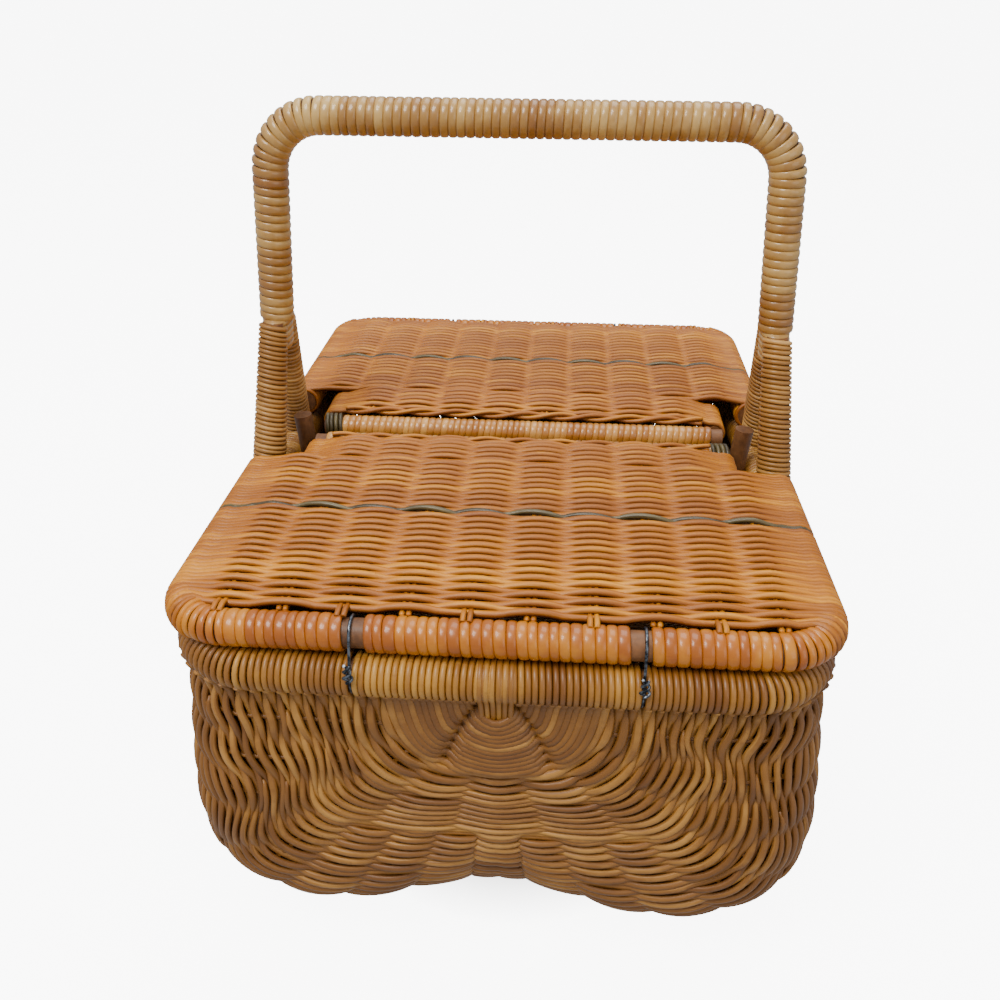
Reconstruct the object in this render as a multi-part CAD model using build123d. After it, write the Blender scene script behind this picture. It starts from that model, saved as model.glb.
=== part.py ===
from build123d import *
import math
import os

# Sewing carrier with two lids: a lobed rib basket with a fixed hoop handle and two woven lids.
# Millimetres. +Z is up, +Y runs from the front end to the rear end, +X is to the right of someone
# who faces the front end. The origin lies on the table, under the middle of the basket.

# ---------------------------------------------------------------- driving dimensions
# Rim of the basket: a bent rod, close-wrapped with round reed.
RIM_HEIGHT = 218.0        # table to the rim rod's centre line
RIM_HALF_WIDTH = 164.0    # centre line, at the handle
RIM_HALF_LENGTH = 223.0   # centre line, at the two ends
RIM_CORNER = 40.0         # bend radius of the rod at the four corners
RIM_BOW = 6.0             # how far each long side bows out
RIM_ROD = 8.5             # radius of the bare rod
RIM_WRAP = 3.25           # thickness of its wrapping

# Ribs of the hull fan from the two ends of the rim. Each lies in a plane that holds the long
# axis through the rim, and is known by that plane's slope and by how far it reaches out.
RIB_SLOPES = (0, 11, 20.5, 30, 42, 55, 67, 78, 90)           # degrees below the rim
RIB_REACHES = (166, 175.5, 189, 210, 240, 246, 233, 215.5, 208)  # to the rib's centre line, mid-way
RIB_CORNERS = (40, 43, 46.5, 51, 56, 62, 76, 90, 104)        # bend radius at each end
RIB_BOWS = (6, 6.8, 7.5, 8.1, 9, 10, 10.5, 11, 12)           # how far the long run bows out
RIB_STARTS = (36, 76, 82, 112, 36, 36, 36, 60, 36)           # from the rim's two ends
HULL_HALF_LENGTH = 222.0  # mid-length to the ribs' run down each end
RIB_RADIUS = 2.5
SPINE_RADIUS = 5.0
WEAVE_THICKNESS = 3.2     # one layer of round reed
WALL_DIP = 3.4            # how far the wall draws in between two ribs, along the sides
EAR_REACH = 50.0          # radius of the lashed pad over the start of the ribs

# Lids: a U-shaped outer rod, whose straight run is the hinge edge, and a straight inner rod.
HINGE_HALF_LENGTH = 219.0  # mid-length to the hinge edge's centre line
LID_HALF_WIDTH = 162.0     # centre line of the outer rod's sides
LID_CORNER = 28.0          # bend radius of the outer rod
LID_ROD = 7.5
LID_WRAP = 2.0             # flat cane on the hinge edge
SIDE_WRAP = 1.7            # turns of the weavers round the side rods
INNER_ROD = 6.5
INNER_WRAP = 1.5
INNER_EDGE = 14.0          # mid-length to the inner rod's centre line
INNER_HALF_WIDTH = 137.0   # half the length of the inner rod
BARE_END = 8.0             # unwrapped end of the inner rod
STEP = 54.0                # mid-length to the lid's full-width part
TONGUE_HALF_WIDTH = 133.0  # centre line of the rods along the tongue's sides
TONGUE_ROD = 5.0
TONGUE_OVERLAP = 24.0      # how far those rods run on under the full-width part
SHEET_THICKNESS = 10.0     # woven sheet, both layers
SHEET_RISE = 15.0          # top of the woven sheet above the rods' centre line
SHEET_START = 7.0          # from the hinge edge's centre line to the sheet
STAKE_RADIUS = 2.4
STAKE_PITCH = 30.6
STAKE_COUNT = 10
BAND_PLACE = 118.5         # mid-length to the dark band
BAND_WIDTH = 6.4
BAND_DEPTH = 1.6
BORDER_RADIUS = 2.4
LASHING_WIDTH = 12.0
LASHING_THICKNESS = 2.0
LID_GAP = 0.35             # lid rolls to the rim's wrapping, when shut

# Handle: one bent rod whose legs end on a pair of braces each.
HANDLE_HEIGHT = 444.2      # table to the bar's centre line
HANDLE_HALF_WIDTH = 150.2  # centre line of the legs, at the bar
HANDLE_BEND = 32.0
HANDLE_ROD = 8.6
HANDLE_WRAP = 2.4
FORK_HEIGHT = 322.0        # table to the end of the legs
FOOT_HALF_WIDTH = 166.0    # centre line of the braces, at the rim
BRACE_ROD = 6.2            # radius of the bare brace, at the leg
BRACE_STOUT = 8.6          # and at the rim
BRACE_WRAP = 2.8
BRACE_TOP = 9.5            # mid-length to a brace's centre line, at the leg
BRACE_FOOT = 38.0          # mid-length to a brace's centre line, at the rim
POST_RADIUS = 6.0
POST_LEAN = 5.0            # degrees outward
POST_TOP = 36.0            # end of the post above the rim's centre line
POST_DROP = 30.0           # end of the post below the rim's centre line

# Hinge rings: closed loops of wire round the lid's rod and the rim rod.
RING_WIRE = 0.8            # radius of the wire
RING_PLACE = 71.0          # mid-width to each ring
RING_PLAY = 0.3            # wire to each rod
RING_SLOT = 2.6            # gap left in the cane for the wire

SNUG = 0.15                # between a rod and what is wrapped round it
FACE_GAP = 0.1             # between pieces that end against each other
EAR_GAP = 0.3              # round the ears, inside the walls' cut-outs

# ---------------------------------------------------------------- sizes that follow
RIM_OUTSIDE = RIM_ROD + RIM_WRAP
ROLL_OUTSIDE = LID_ROD + LID_WRAP
LID_PLANE = RIM_HEIGHT + RIM_OUTSIDE + ROLL_OUTSIDE + LID_GAP   # centre line of the lids' rods
SHEET_TOP = LID_PLANE + SHEET_RISE
SHEET_BOTTOM = SHEET_TOP - SHEET_THICKNESS
STAKE_HEIGHT = SHEET_TOP - SHEET_THICKNESS / 2
INNER_OUTSIDE = INNER_ROD + max(INNER_WRAP, LASHING_THICKNESS)
HANDLE_OUTSIDE = HANDLE_ROD + HANDLE_WRAP
WEAVE_INSIDE = RIB_RADIUS + 0.2                                  # rib's centre line to the weave
WEAVE_OUTSIDE = WEAVE_INSIDE + WEAVE_THICKNESS
WEAVE_EDGE = RIM_HEIGHT - RIM_OUTSIDE - SNUG                     # the wall's upper edge
RIM_CENTRE = Vector(0, 0, RIM_HEIGHT)
FRONT, REAR, LEFT, RIGHT = -1, 1, -1, 1

os.makedirs("parts", exist_ok=True)


def save(shape, name):
    """Writes one sub-part under its name."""
    shape.label = name
    export_step(shape, f"parts/{name}.step")


# ---------------------------------------------------------------- outlines
def half_outline(plane, half_length, reach, corner, bow, inset=0.0):
    """Half of a bowed, rounded rectangle: down one end, along the bowed side, up the other end.

    The plane's x axis is the basket's length, its y axis points outward. inset is where the two
    end runs start, measured from the long axis.
    """
    side = (half_length**2 + bow**2) / (2 * bow)
    turn_y = reach - side + math.sqrt((side - corner) ** 2 - (half_length - corner) ** 2)
    lean = math.atan2(turn_y - (reach - side), half_length - corner)
    touch_x = side * math.cos(lean)
    touch_y = reach - side + side * math.sin(lean)
    middle = (math.pi + (math.pi - lean)) / 2
    turn_x = half_length - corner
    corner_mid = (-turn_x + corner * math.cos(middle), turn_y + corner * math.sin(middle))
    front_end = Line((-half_length, inset), (-half_length, turn_y))
    front_turn = ThreePointArc((-half_length, turn_y), corner_mid, (-touch_x, touch_y))
    long_side = ThreePointArc((-touch_x, touch_y), (0, reach), (touch_x, touch_y))
    rear_turn = ThreePointArc((touch_x, touch_y), (-corner_mid[0], corner_mid[1]), (half_length, turn_y))
    rear_end = Line((half_length, turn_y), (half_length, inset))
    return [plane.from_local_coords(e) for e in (front_end, front_turn, long_side, rear_turn, rear_end)]


def rib_plane(side, slope):
    """Plane through the rim's long axis that slopes down and outward on one side."""
    down = math.radians(slope)
    outward = Vector(side * math.cos(down), 0, -math.sin(down))
    return Plane(origin=RIM_CENTRE, x_dir=(0, 1, 0), z_dir=Vector(0, 1, 0).cross(outward))


def tube(path, outer, inner=0.0):
    """Round rod, or round sleeve, along a path."""
    start = Plane(origin=path @ 0, z_dir=path % 0)
    profile = start * Circle(outer)
    if inner:
        profile = profile - start * Circle(inner)
    return sweep(profile, path=path)


# ---------------------------------------------------------------- basket
def rim_path():
    edges = []
    for side in (LEFT, RIGHT):
        plane = rib_plane(side, 0)
        edges += half_outline(plane, RIM_HALF_LENGTH, RIM_HALF_WIDTH, RIM_CORNER, RIM_BOW)
    return Wire(edges)


def ring_slots(radius, half_length, height):
    """Narrow gaps round a roll, where the hinge rings pass through its wrapping."""
    slots = []
    for end in (FRONT, REAR):
        for side in (LEFT, RIGHT):
            at = Location((side * RING_PLACE, end * half_length, height), (0, 90, 0))
            slots.append(at * Cylinder(radius, RING_SLOT))
    return slots


def build_rim():
    path = rim_path()
    save(tube(path, RIM_ROD), "rim_hoop")
    wrap = tube(path, RIM_OUTSIDE, RIM_ROD + SNUG)
    for slot in ring_slots(RIM_OUTSIDE + 1, RIM_HALF_LENGTH, RIM_HEIGHT):
        wrap = wrap - slot
    for end in (FRONT, REAR):
        for side in (LEFT, RIGHT):
            wrap = wrap - brace_rod(end, side, SNUG)
    save(wrap, "rim_wrap")


def rib_path(side, number, radius):
    """Centre line of a rib of that radius, laid against the inside of the woven wall.

    Where the wall is slanted across the rib's plane, the rib sits a little further in. It starts
    behind the ear or further out, and always clear of the rim's wrapping.
    """
    plane = rib_plane(side, RIB_SLOPES[number])
    steepest = 0.0
    if number < len(RIB_SLOPES) - 1:
        for other in (number - 1, number + 1):
            swing = abs(math.radians(RIB_SLOPES[other] - RIB_SLOPES[number])) * RIB_REACHES[number]
            drop = abs(RIB_REACHES[other] - RIB_REACHES[number]) + 2 * WALL_DIP
            steepest = max(steepest, drop / swing)
    inward = radius / math.cos(math.atan(steepest)) - RIB_RADIUS
    clear = (RIM_OUTSIDE + radius + SNUG) / math.sin(math.radians(RIB_SLOPES[number]))
    edges = half_outline(
        plane,
        HULL_HALF_LENGTH - inward,
        RIB_REACHES[number] - inward,
        RIB_CORNERS[number] - inward,
        RIB_BOWS[number],
        inset=max(RIB_STARTS[number], clear),
    )
    return Wire(edges)


def build_ribs():
    for side, name in ((LEFT, "left"), (RIGHT, "right")):
        for number in range(1, len(RIB_SLOPES) - 1):
            save(tube(rib_path(side, number, RIB_RADIUS), RIB_RADIUS), f"{name}_rib_{number}")
    save(tube(rib_path(LEFT, len(RIB_SLOPES) - 1, SPINE_RADIUS), SPINE_RADIUS), "spine_rib")


def wall_section(side, slope, reach, corner, bow, dip=0.0):
    """Cut through the woven wall in one sloping plane; dip is how far its long run is drawn in."""
    plane = rib_plane(side, slope)
    lines = []
    for depth in (WEAVE_OUTSIDE, WEAVE_INSIDE):
        edges = half_outline(
            plane, HULL_HALF_LENGTH + depth, reach + depth - dip, corner + depth, bow, inset=EAR_REACH
        )
        lines.append(edges)
    outer, inner = lines
    caps = [Line(outer[0] @ 0, inner[0] @ 0), Line(outer[-1] @ 1, inner[-1] @ 1)]
    return Face(Wire(outer + inner + caps))


def wall_sections(side):
    """The wall rides over every rib and draws in half-way to the next, up to the last but one."""
    *ribs, spine = zip(RIB_SLOPES, RIB_REACHES, RIB_CORNERS, RIB_BOWS)
    sections = [wall_section(side, *ribs[0])]
    for rib, following in zip(ribs, ribs[1:]):
        half_way = [(one + other) / 2 for one, other in zip(rib, following)]
        sections.append(wall_section(side, *half_way, dip=WALL_DIP))
        sections.append(wall_section(side, *following))
    return sections + [wall_section(side, *spine)]


def build_walls():
    above = RIM_HALF_LENGTH * 2 + 100
    over_rim = Pos(0, 0, WEAVE_EDGE + above / 2) * Box(above, above, above)
    under_table = Pos(0, 0, -above / 2) * Box(above, above, above)
    for side, name in ((LEFT, "left_weave"), (RIGHT, "right_weave")):
        save(loft(wall_sections(side), ruled=True) - over_rim - under_table, name)


def build_ears():
    """Pads of close turns that tie the spine and the ribs under each end of the rim."""
    over_rim = Pos(0, 0, WEAVE_EDGE + EAR_REACH) * Box(4 * EAR_REACH, 4 * HULL_HALF_LENGTH, 2 * EAR_REACH)
    middle = HULL_HALF_LENGTH + (WEAVE_INSIDE + WEAVE_OUTSIDE) / 2
    for end, name in ((FRONT, "front_ear"), (REAR, "rear_ear")):
        at = Location((0, end * middle, RIM_HEIGHT), (90, 0, 0))
        save(at * Cylinder(EAR_REACH - EAR_GAP, WEAVE_THICKNESS) - over_rim, name)


# ---------------------------------------------------------------- handle
def brace_rod(end, side, cover=0.0):
    """Tapered brace from a leg's end down on to the rim, trimmed level at its top.

    cover is the thickness of a layer laid over the bare rod.
    """
    top = Vector(side * leg_x(FORK_HEIGHT), end * BRACE_TOP, FORK_HEIGHT)
    foot = Vector(side * FOOT_HALF_WIDTH, end * BRACE_FOOT, RIM_HEIGHT)
    along = (foot - top).normalized()
    start = top - along * BRACE_ROD
    rod = Plane(origin=start, z_dir=along) * Cone(
        BRACE_ROD + cover,
        BRACE_STOUT + cover,
        (foot - start).length,
        align=(Align.CENTER, Align.CENTER, Align.MIN),
    )
    cap = Box(100, 100, 100, align=(Align.CENTER, Align.CENTER, Align.MIN))
    return rod - Pos(top.X, top.Y, FORK_HEIGHT - FACE_GAP) * cap


def leg_x(height):
    """The legs lean out a little on their way down."""
    share = (HANDLE_HEIGHT - height) / (HANDLE_HEIGHT - RIM_HEIGHT)
    return HANDLE_HALF_WIDTH + (FOOT_HALF_WIDTH - HANDLE_HALF_WIDTH) * share


def build_handle():
    low = FORK_HEIGHT - 2
    path = FilletPolyline(
        (-leg_x(low), 0, low),
        (-HANDLE_HALF_WIDTH, 0, HANDLE_HEIGHT),
        (HANDLE_HALF_WIDTH, 0, HANDLE_HEIGHT),
        (leg_x(low), 0, low),
        radius=HANDLE_BEND,
    )
    below = Pos(0, 0, FORK_HEIGHT - 50) * Box(500, 100, 100)
    save(tube(path, HANDLE_ROD) - below, "handle_hoop")
    save(tube(path, HANDLE_OUTSIDE, HANDLE_ROD + SNUG) - below, "handle_wrap")


def build_braces():
    rim = tube(rim_path(), RIM_ROD + SNUG)
    rim_roll = tube(rim_path(), RIM_OUTSIDE + SNUG)
    for end, end_name in ((FRONT, "front"), (REAR, "rear")):
        own_half = Pos(0, end * 100, FORK_HEIGHT - 100) * Box(500, 200 - FACE_GAP, 400)
        for side, side_name in ((LEFT, "left"), (RIGHT, "right")):
            rod = brace_rod(end, side)
            other = brace_rod(-end, side, SNUG)
            save(rod - rim, f"{end_name}_{side_name}_brace")
            wrap = brace_rod(end, side, BRACE_WRAP) - brace_rod(end, side, SNUG)
            wrap = (wrap - other - rim_roll) & own_half
            save(wrap, f"{end_name}_{side_name}_brace_wrap")


def build_posts():
    """Bare rods that lean outward between the braces, against the inside of the rim."""
    x = RIM_HALF_WIDTH - (RIM_OUTSIDE + POST_RADIUS + SNUG) / math.cos(math.radians(POST_LEAN))
    rod = Pos(0, 0, (POST_TOP - POST_DROP) / 2) * Cylinder(POST_RADIUS, POST_TOP + POST_DROP)
    for side, name in ((LEFT, "left_post"), (RIGHT, "right_post")):
        save(Location((side * x, 0, RIM_HEIGHT), (0, side * POST_LEAN, 0)) * rod, name)


# ---------------------------------------------------------------- hinge rings
def ring_path(end, x):
    """Closed belt round the lid's rod and the rim rod, in a plane across the hinge."""
    upper = RING_PLAY + RING_WIRE + LID_ROD
    lower = RING_PLAY + RING_WIRE + RIM_ROD
    rise = LID_PLANE - RIM_HEIGHT
    run = HINGE_HALF_LENGTH - RIM_HALF_LENGTH
    plane = Plane(origin=(x, end * RIM_HALF_LENGTH, RIM_HEIGHT), x_dir=(0, end, 0),
                  z_dir=Vector(0, end, 0).cross(Vector(0, 0, 1)))
    distance = math.hypot(run, rise)
    tilt = math.atan2(rise, run)
    spread = math.acos((lower - upper) / distance)
    around = []
    for turn in (spread, -spread):
        angle = tilt + turn
        unit = Vector(math.cos(angle), math.sin(angle))
        around.append((unit * lower, Vector(run, rise) + unit * upper))
    (low_a, high_a), (low_b, high_b) = around
    along = Vector(math.cos(tilt), math.sin(tilt))
    edges = [
        Line(low_a, high_a),
        ThreePointArc(high_a, Vector(run, rise) + along * upper, high_b),
        Line(high_b, low_b),
        ThreePointArc(low_b, along * -lower, low_a),
    ]
    return Wire([plane.from_local_coords(e) for e in edges])


def build_rings():
    for end, end_name in ((FRONT, "front"), (REAR, "rear")):
        for side, side_name in ((LEFT, "left"), (RIGHT, "right")):
            path = ring_path(end, side * RING_PLACE)
            save(tube(path, RING_WIRE), f"{end_name}_{side_name}_hinge_ring")


# ---------------------------------------------------------------- lids
# A lid is drawn at the front end; the rear one is the same lid turned half round.
def lid_rod_path():
    return FilletPolyline(
        (-LID_HALF_WIDTH, -STEP, LID_PLANE),
        (-LID_HALF_WIDTH, -HINGE_HALF_LENGTH, LID_PLANE),
        (LID_HALF_WIDTH, -HINGE_HALF_LENGTH, LID_PLANE),
        (LID_HALF_WIDTH, -STEP, LID_PLANE),
        radius=LID_CORNER,
    )


def lid_roll_path():
    """The hinge edge and its two corners, without the sides."""
    corner = HINGE_HALF_LENGTH - LID_CORNER
    return FilletPolyline(
        (-LID_HALF_WIDTH, -corner + 1, LID_PLANE),
        (-LID_HALF_WIDTH, -HINGE_HALF_LENGTH, LID_PLANE),
        (LID_HALF_WIDTH, -HINGE_HALF_LENGTH, LID_PLANE),
        (LID_HALF_WIDTH, -corner + 1, LID_PLANE),
        radius=LID_CORNER,
    )


def side_run(x, start, stop, radius, inner=0.0):
    """Straight rod or sleeve along Y in the lid's plane."""
    sleeve = Cylinder(radius, stop - start)
    if inner:
        sleeve = sleeve - Cylinder(inner, stop - start)
    return Location((x, (start + stop) / 2, LID_PLANE), (90, 0, 0)) * sleeve


def sheet_outline():
    """Plan of the woven sheet: full width behind the hinge edge, a tongue between the legs."""
    outer = -(HINGE_HALF_LENGTH - SHEET_START)
    inner = -(INNER_EDGE + INNER_ROD)
    wide, narrow = LID_HALF_WIDTH, TONGUE_HALF_WIDTH
    corner = LID_CORNER - SHEET_START
    plan = Polyline(
        (-wide, outer), (wide, outer), (wide, -STEP), (narrow, -STEP), (narrow, inner),
        (-narrow, inner), (-narrow, -STEP), (-wide, -STEP), close=True,
    )
    face = make_face(plan)
    face = fillet(face.vertices().group_by(Axis.Y)[0], corner)
    outer_steps = [v for v in face.vertices() if abs(v.Y + STEP) < 1 and abs(v.X) > narrow + 1]
    return fillet(outer_steps, LID_ROD)


def stake_places():
    first = -STAKE_PITCH * (STAKE_COUNT - 1) / 2
    return [first + STAKE_PITCH * n for n in range(STAKE_COUNT)]


def stake(x, radius):
    """One stake: from over the hinge rod to over the inner rod, or to the step."""
    start = -(HINGE_HALF_LENGTH - SHEET_START)
    within_tongue = abs(x) < TONGUE_HALF_WIDTH - 2 * STAKE_RADIUS
    stop = -(INNER_EDGE + INNER_OUTSIDE) if within_tongue else -(STEP + LID_ROD)
    rod = Cylinder(radius, stop - start)
    return Location((x, (start + stop) / 2, STAKE_HEIGHT), (90, 0, 0)) * rod


def lid_pieces():
    roll_at = (0, -HINGE_HALF_LENGTH, LID_PLANE)
    inner_at = (0, -INNER_EDGE, LID_PLANE)
    across = (0, 90, 0)
    pieces = {"outer_rod": tube(lid_rod_path(), LID_ROD)}

    roll = tube(lid_roll_path(), ROLL_OUTSIDE, LID_ROD + SNUG)
    for slot in ring_slots(ROLL_OUTSIDE + 1, HINGE_HALF_LENGTH, LID_PLANE):
        roll = roll - slot
    pieces["outer_wrap"] = roll

    rod_length = 2 * INNER_HALF_WIDTH
    pieces["inner_rod"] = Location(inner_at, across) * Cylinder(INNER_ROD, rod_length)
    wrap_length = rod_length - BARE_END - LASHING_WIDTH - 2 * FACE_GAP
    wrap_x = (BARE_END - LASHING_WIDTH) / 2
    sleeve = Cylinder(INNER_ROD + INNER_WRAP, wrap_length) - Cylinder(INNER_ROD + SNUG, wrap_length)
    pieces["inner_wrap"] = Location((wrap_x, -INNER_EDGE, LID_PLANE), across) * sleeve
    lashing = Cylinder(INNER_ROD + LASHING_THICKNESS, LASHING_WIDTH)
    lashing = lashing - Cylinder(INNER_ROD + SNUG, LASHING_WIDTH)
    lashing_x = INNER_HALF_WIDTH - LASHING_WIDTH / 2
    pieces["corner_lashing"] = Location((lashing_x, -INNER_EDGE, LID_PLANE), across) * lashing

    wide_start = -(HINGE_HALF_LENGTH - LID_CORNER - 1 - FACE_GAP)
    tongue_start = -(STEP + TONGUE_OVERLAP)
    tongue_stop = -(INNER_EDGE + INNER_OUTSIDE + SNUG)
    rods, wraps = [], []
    for side in (LEFT, RIGHT):
        rods.append(side_run(side * TONGUE_HALF_WIDTH, tongue_start, tongue_stop, TONGUE_ROD))
        wraps.append(side_run(side * LID_HALF_WIDTH, wide_start, -STEP, LID_ROD + SIDE_WRAP,
                              LID_ROD + SNUG))
        wraps.append(side_run(side * TONGUE_HALF_WIDTH, tongue_start, tongue_stop,
                              TONGUE_ROD + SIDE_WRAP, TONGUE_ROD + SNUG))
    pieces["side_rods"] = Compound(rods)
    pieces["side_wraps"] = Compound(wraps)

    places = stake_places()
    pieces["stakes"] = Compound([stake(x, STAKE_RADIUS) for x in places])

    sheet = extrude(Plane.XY.offset(SHEET_BOTTOM) * sheet_outline(), amount=SHEET_THICKNESS)
    for x in places:
        sheet = sheet - stake(x, STAKE_RADIUS + SNUG)
    sheet = sheet - tube(lid_roll_path(), ROLL_OUTSIDE + SNUG)
    sheet = sheet - Location(roll_at, across) * Cylinder(ROLL_OUTSIDE + SNUG, 2 * LID_HALF_WIDTH - 60)
    for side in (LEFT, RIGHT):
        sheet = sheet - side_run(side * LID_HALF_WIDTH, wide_start - 2, 0, LID_ROD + SIDE_WRAP + SNUG)
        sheet = sheet - side_run(side * TONGUE_HALF_WIDTH, tongue_start - FACE_GAP, 0,
                                 TONGUE_ROD + SIDE_WRAP + SNUG)
    sheet = sheet - Location(inner_at, across) * Cylinder(INNER_OUTSIDE + SNUG, 2 * LID_HALF_WIDTH)

    band_plan = Pos(0, -BAND_PLACE, SHEET_TOP - BAND_DEPTH / 2)
    band_box = band_plan * Box(2 * LID_HALF_WIDTH, BAND_WIDTH, BAND_DEPTH)
    slot_box = band_plan * Box(2 * LID_HALF_WIDTH + 1, BAND_WIDTH + 2 * FACE_GAP, BAND_DEPTH + FACE_GAP)
    border_at = (
        0,
        -(INNER_EDGE + INNER_OUTSIDE + BORDER_RADIUS),
        STAKE_HEIGHT + STAKE_RADIUS + SNUG + BORDER_RADIUS,
    )
    border_length = 2 * (TONGUE_HALF_WIDTH - TONGUE_ROD - SIDE_WRAP - SNUG)
    pieces["dark_band"] = band_box
    pieces["border"] = Location(border_at, across) * Cylinder(BORDER_RADIUS, border_length)
    sheet = sheet - slot_box
    sheet = sheet - Location(border_at, across) * Cylinder(BORDER_RADIUS + SNUG, border_length + 1)
    pieces["weave"] = sheet
    return pieces


def build_lids():
    for name, piece in lid_pieces().items():
        save(piece, f"front_lid_{name}")
        save(Rot(0, 0, 180) * piece, f"rear_lid_{name}")


build_rim()
build_ribs()
build_walls()
build_ears()
build_handle()
build_braces()
build_posts()
build_rings()
build_lids()
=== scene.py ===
import math

import bmesh
import bpy
import numpy as np
from mathutils import Matrix


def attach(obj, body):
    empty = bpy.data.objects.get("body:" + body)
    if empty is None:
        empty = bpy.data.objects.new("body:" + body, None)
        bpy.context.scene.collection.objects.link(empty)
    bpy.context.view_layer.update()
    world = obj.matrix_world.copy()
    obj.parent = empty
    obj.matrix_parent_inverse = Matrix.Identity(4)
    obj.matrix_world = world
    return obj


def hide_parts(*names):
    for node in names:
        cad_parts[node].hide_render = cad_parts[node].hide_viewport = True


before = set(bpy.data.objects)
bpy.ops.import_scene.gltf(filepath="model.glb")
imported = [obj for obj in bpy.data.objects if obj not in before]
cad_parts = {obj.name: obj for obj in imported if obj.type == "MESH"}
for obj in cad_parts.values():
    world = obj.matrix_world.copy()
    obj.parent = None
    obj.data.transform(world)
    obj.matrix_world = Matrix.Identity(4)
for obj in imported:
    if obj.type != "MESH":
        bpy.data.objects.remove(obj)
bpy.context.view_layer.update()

# Looks of the sewing carrier: every strand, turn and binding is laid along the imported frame.
# Lengths are millimetres until a mesh is made; +Z is up and the front end faces -Y.
chance = np.random.default_rng(11)

# ---- the carrier's dimensions
REED = 1.6  # radius of the round reed
ROW_PITCH = 3.38  # reed to reed along the rim
SNUG = 0.15  # from a rod to the reed turned round it

RIM_HEIGHT, RIM_HALF_LENGTH, RIM_HALF_WIDTH = 218.0, 223.0, 164.0
RIM_CORNER, RIM_BOW, RIM_ROD = 40.0, 6.0, 8.5
RIM_TURN = RIM_ROD + SNUG + REED

# the hull by its slope below the rim: how far out it reaches, its end corners and its sides' bow
SLOPES = np.array([0, 11, 20.5, 30, 42, 55, 67, 78, 90.0])
REACHES = np.array([166, 175.5, 189, 210, 240, 246, 233, 215.5, 208.0])
CORNERS = np.array([40, 43, 46.5, 51, 56, 62, 76, 90, 104.0])
BOWS = np.array([6, 6.8, 7.5, 8.1, 9, 10, 10.5, 11, 12.0])
HULL_HALF_LENGTH = 222.0

LID_PLANE = 239.6  # height of the lids' rods
HINGE_HALF_LENGTH, LID_HALF_WIDTH, LID_CORNER, LID_ROD = 219.0, 162.0, 28.0, 7.5
CORNER_START = HINGE_HALF_LENGTH - LID_CORNER
STEP, TONGUE_HALF_WIDTH, TONGUE_ROD = 54.0, 133.0, 5.0
INNER_EDGE, INNER_HALF_WIDTH, INNER_ROD = 14.0, 137.0, 6.5
STAKE_RISE = 10.0  # the stakes lie this far above the rods
STAKE_PITCH, STAKE_COUNT = 30.6, 10
BAND_PLACE = 118.5
RING_PLACE = 71.0  # hinge wires, either side of the middle

HANDLE_HEIGHT, HANDLE_HALF_WIDTH, HANDLE_BEND, HANDLE_ROD = 444.2, 150.2, 32.0, 8.6
FORK_HEIGHT, FOOT_HALF_WIDTH = 322.0, 166.0
BRACE_ROD, BRACE_STOUT, BRACE_TOP, BRACE_FOOT = 6.2, 8.6, 9.5, 38.0


# ---- numbers and lines
def ease(value, low, high):
    """0 below low, 1 above high, and smooth between."""
    share = np.clip((np.asarray(value, float) - low) / (high - low), 0, 1)
    return share * share * (3 - 2 * share)


def circle(count):
    return np.linspace(0, 2 * math.pi, count, endpoint=False)


def unit(vectors):
    return vectors / np.maximum(np.linalg.norm(vectors, axis=-1, keepdims=True), 1e-9)


def through(knots, values, at):
    """Natural cubic curve through the knots."""
    steps = np.diff(knots)
    slopes = np.diff(values) / steps
    size = len(knots)
    matrix, right = np.eye(size), np.zeros(size)
    for k in range(1, size - 1):
        matrix[k, k - 1:k + 2] = steps[k - 1], 2 * (steps[k - 1] + steps[k]), steps[k]
        right[k] = 6 * (slopes[k] - slopes[k - 1])
    bend = np.linalg.solve(matrix, right)
    k = np.clip(np.searchsorted(knots, at, side="right") - 1, 0, size - 2)
    a, b, h = knots[k + 1] - at, at - knots[k], steps[k]
    return ((bend[k] * a**3 + bend[k + 1] * b**3) / (6 * h)
            + (values[k] / h - bend[k] * h / 6) * a
            + (values[k + 1] / h - bend[k + 1] * h / 6) * b)


class Line:
    """A line through points, read by the distance along it."""

    def __init__(self, points):
        self.points = np.asarray(points, float)
        steps = np.linalg.norm(np.diff(self.points, axis=0), axis=1)
        self.marks = np.concatenate([[0], np.cumsum(steps)])
        self.length = self.marks[-1]
        self.heading = unit(np.gradient(self.points, axis=0))

    def at(self, distance):
        return self._read(self.points, distance)

    def evenly(self, count):
        return self.at(np.linspace(0, self.length, count))

    def along(self, distance):
        return unit(self._read(self.heading, distance))

    def _read(self, table, distance):
        distance = np.asarray(distance, float)
        columns = [np.interp(distance, self.marks, table[:, k]) for k in range(table.shape[1])]
        return np.stack(columns, axis=-1)


def rounded(corners, radius, step=0.5):
    """A line through corners, rounded to one radius."""
    corners = [np.asarray(c, float) for c in corners]
    points = [corners[0]]
    for before, corner, after in zip(corners, corners[1:], corners[2:]):
        back, on = unit(before - corner), unit(after - corner)
        half = math.acos(np.clip(back @ on, -1, 1)) / 2
        reach = radius / math.tan(half)
        middle = corner + unit(back + on) * radius / math.sin(half)
        start, stop = corner + back * reach, corner + on * reach
        sweep = math.pi - 2 * half
        for share in np.linspace(0, 1, max(6, int(sweep * radius / step))):
            first, second = math.sin((1 - share) * sweep), math.sin(share * sweep)
            swung = (start - middle) * first + (stop - middle) * second
            points.append(middle + swung / math.sin(sweep))
    points.append(corners[-1])
    dense = Line(points)
    return Line(dense.evenly(int(dense.length / step)))


FINE = 60  # points on each part of an outline


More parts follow.
